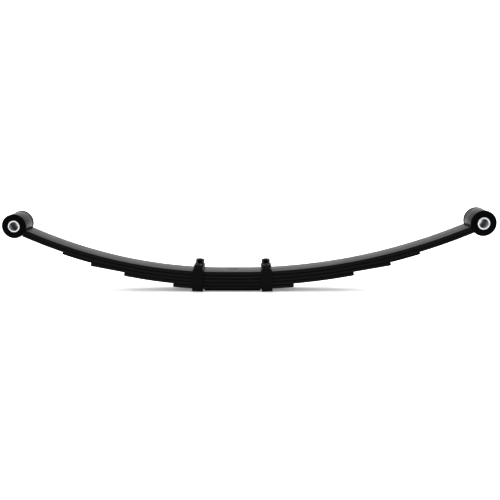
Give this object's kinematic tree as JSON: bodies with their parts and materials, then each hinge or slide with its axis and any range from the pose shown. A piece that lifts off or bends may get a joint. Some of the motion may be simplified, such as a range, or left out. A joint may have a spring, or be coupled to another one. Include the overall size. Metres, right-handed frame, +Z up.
{
  "type": "leaf spring",
  "caption": "Semi-elliptic leaf spring: stepped black leaves, a rolled eye with a flanged bush and steel sleeve at each end, and two rebound clamps.",
  "frame": {"origin": "on the centre bolt's axis, in the flat underside of the seat plate", "axes": "+X along the spring towards its longer arm, +Y across its width, +Z up towards the eyes"},
  "size_m": [1.2583, 0.0898, 0.212],
  "materials": {
    "leaf_paint": "semi-gloss",
    "clamp_paint": "semi-gloss",
    "fastener_black": "satin",
    "liner_nylon": "matt",
    "bush_rubber": "matt",
    "sleeve_steel": "zinc plated"
  },
  "bodies": {
    "spring_pack": {"main_leaf": "leaf_paint", "second_leaf": "leaf_paint", "third_leaf": "leaf_paint", "fourth_leaf": "leaf_paint", "fifth_leaf": "leaf_paint", "left_tip_liner": "liner_nylon", "right_tip_liner": "liner_nylon", "seat_plate": "clamp_paint", "centre_bolt": "fastener_black", "centre_nut": "fastener_black", "left_clamp_strap": "clamp_paint", "right_clamp_strap": "clamp_paint", "left_clamp_plate": "clamp_paint", "right_clamp_plate": "clamp_paint", "left_clamp_nut_front": "fastener_black", "left_clamp_nut_rear": "fastener_black", "right_clamp_nut_front": "fastener_black", "right_clamp_nut_rear": "fastener_black"},
    "left_eye": {"left_bush_front": "bush_rubber", "left_bush_rear": "bush_rubber"},
    "right_eye": {"right_bush_front": "bush_rubber", "right_bush_rear": "bush_rubber"},
    "left_eye_tube": {"left_sleeve": "sleeve_steel"},
    "right_eye_tube": {"right_sleeve": "sleeve_steel"}
  },
  "joints": [
    {"name": "left_arm_flex", "type": "hinge", "parent": "spring_pack", "child": "left_eye", "pos_m": [-0.3035, 0, 0.0723], "axis": [0, -1, 0], "range_deg": [0, 14], "stiffness_Nm_per_rad": 1900, "deforming": ["main_leaf", "second_leaf", "third_leaf", "fourth_leaf", "fifth_leaf", "left_tip_liner"]},
    {"name": "right_arm_flex", "type": "hinge", "parent": "spring_pack", "child": "right_eye", "pos_m": [0.346, 0, 0.0746], "axis": [0, 1, 0], "range_deg": [0, 12.5], "stiffness_Nm_per_rad": 2100, "deforming": ["main_leaf", "second_leaf", "third_leaf", "fourth_leaf", "fifth_leaf", "right_tip_liner"]},
    {"name": "left_sleeve_turn", "type": "hinge", "parent": "left_eye", "child": "left_eye_tube", "pos_m": [-0.555, 0, 0.16826], "axis": [0, 1, 0], "continuous": true},
    {"name": "right_sleeve_turn", "type": "hinge", "parent": "right_eye", "child": "right_eye_tube", "pos_m": [0.64, 0, 0.1758], "axis": [0, 1, 0], "continuous": true}
  ]
}
